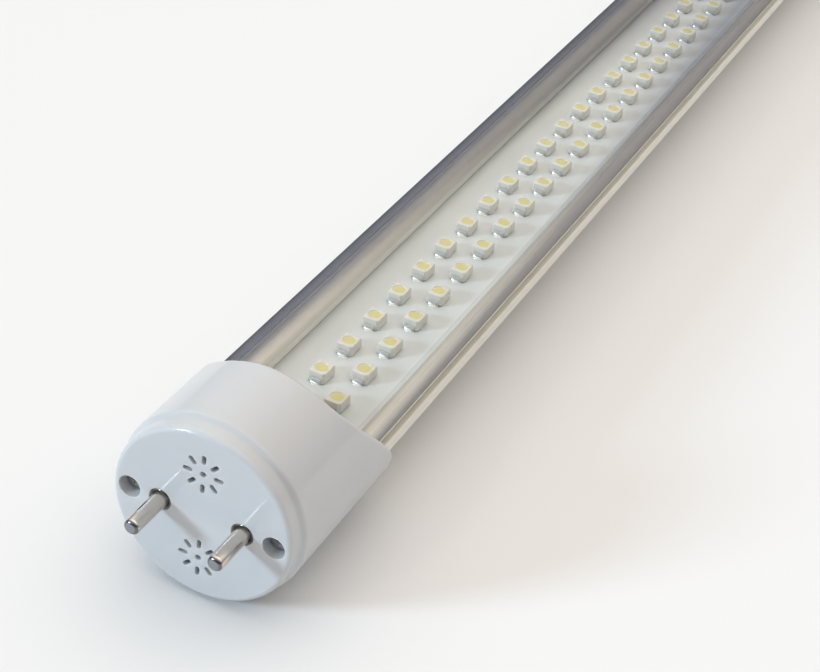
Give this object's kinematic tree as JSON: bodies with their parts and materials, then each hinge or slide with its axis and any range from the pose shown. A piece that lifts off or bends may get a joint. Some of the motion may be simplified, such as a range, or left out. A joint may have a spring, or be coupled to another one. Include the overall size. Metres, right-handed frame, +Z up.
{
  "type": "led light tube",
  "caption": "Slim straight LED lamp: clear half-round cover over rows of LEDs, ribbed metal back, and white two-pin end caps with vent slots.",
  "frame": {"origin": "under the middle of the tube, on the surface that its two caps rest on", "axes": "+Y along the tube towards the rear cap, +Z up on the LED side, +X to the right of the front cap's pins"},
  "size_m": [0.0286, 0.604, 0.0287],
  "materials": {
    "white_polycarbonate": "glossy white moulded polycarbonate",
    "clear_polycarbonate": "clear extruded polycarbonate",
    "anodised_aluminium": "satin anodised extrusion, brushed lengthwise",
    "nickel_pin": "nickel-plated brass, brushed",
    "zinc_screw": "zinc-plated steel",
    "white_solder_mask": "white solder mask, satin",
    "led_package": "white moulded package with yellow phosphor and tinned ends",
    "thermal_pad": "grey silicone pad",
    "driver_laminate": "green solder mask",
    "insulating_film": "amber film",
    "black_epoxy": "black moulding compound",
    "blue_epoxy": "blue epoxy coating",
    "ferrite": "sintered ferrite",
    "winding_tape": "yellow tape over the winding",
    "resistor_paint": "grey cement paint",
    "capacitor_sleeve": "dark blue shrink sleeve on an aluminium can",
    "red_insulation": "red wire insulation",
    "blue_insulation": "blue wire insulation",
    "black_insulation": "black wire insulation"
  },
  "bodies": {
    "root": {"heat_sink": "anodised_aluminium", "clear_cover": "clear_polycarbonate", "led_board": "white_solder_mask", "thermal_pad": "thermal_pad", "led_row_left": "led_package", "led_row_right": "led_package", "front_end_cap": "white_polycarbonate", "rear_end_cap": "white_polycarbonate", "front_pin_left": "nickel_pin", "front_pin_right": "nickel_pin", "rear_pin_left": "nickel_pin", "rear_pin_right": "nickel_pin", "front_screw_left": "zinc_screw", "front_screw_right": "zinc_screw", "rear_screw_left": "zinc_screw", "rear_screw_right": "zinc_screw", "driver_board": "driver_laminate", "driver_sleeve": "insulating_film", "fuse_resistor": "resistor_paint", "varistor": "blue_epoxy", "film_capacitor": "winding_tape", "input_choke": "ferrite", "bridge_rectifier": "black_epoxy", "input_capacitor": "capacitor_sleeve", "driver_chip": "black_epoxy", "transformer_core": "ferrite", "transformer_winding": "winding_tape", "output_diode": "black_epoxy", "output_capacitor": "capacitor_sleeve", "live_wire": "red_insulation", "neutral_wire": "blue_insulation", "positive_wire": "red_insulation", "negative_wire": "black_insulation", "rear_link_wire": "black_insulation"}
  },
  "joints": []
}
